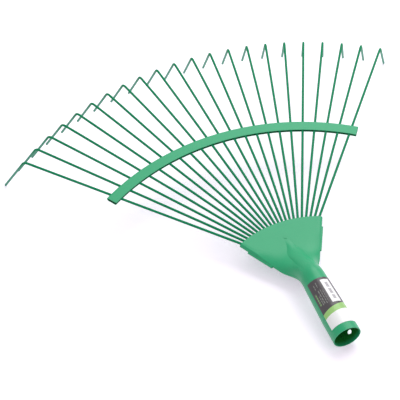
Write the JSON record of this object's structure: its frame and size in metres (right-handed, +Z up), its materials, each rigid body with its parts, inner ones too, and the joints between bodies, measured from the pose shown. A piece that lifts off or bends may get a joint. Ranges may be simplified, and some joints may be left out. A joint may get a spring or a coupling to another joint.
{
  "type": "leaf rake head",
  "caption": "Wire leaf rake head: round spring tines with hooked ends, fanned out from a pressed plate with a rolled handle socket and held apart by a spreader bar.",
  "frame": {"origin": "centre of the bounding box at its bottom, on the ground under the head", "axes": "+Z up, +Y from the socket towards the tine tips, +X to the right seen from above; the head lies as it rests on the ground, on its outer tips and the lower rim of its socket"},
  "size_m": [0.4592, 0.4482, 0.0607],
  "materials": {
    "green_plate": "semi-gloss green powder coat",
    "green_wire": "semi-gloss darker green coat on spring wire",
    "label": "smooth printed film label"
  },
  "bodies": {
    "root": {"socket_plate": "green_plate", "clamp_plate": "green_plate", "spreader_bar": "green_plate", "clamp_rivet": "green_plate", "socket_label": "label", "tine_01": "green_wire", "tine_02": "green_wire", "tine_03": "green_wire", "tine_04": "green_wire", "tine_05": "green_wire", "tine_06": "green_wire", "tine_07": "green_wire", "tine_08": "green_wire", "tine_09": "green_wire", "tine_10": "green_wire", "tine_11": "green_wire", "tine_12": "green_wire", "tine_13": "green_wire", "tine_14": "green_wire", "tine_15": "green_wire", "tine_16": "green_wire", "tine_17": "green_wire", "tine_18": "green_wire", "tine_19": "green_wire", "tine_20": "green_wire", "tine_21": "green_wire", "tine_22": "green_wire"}
  },
  "joints": []
}
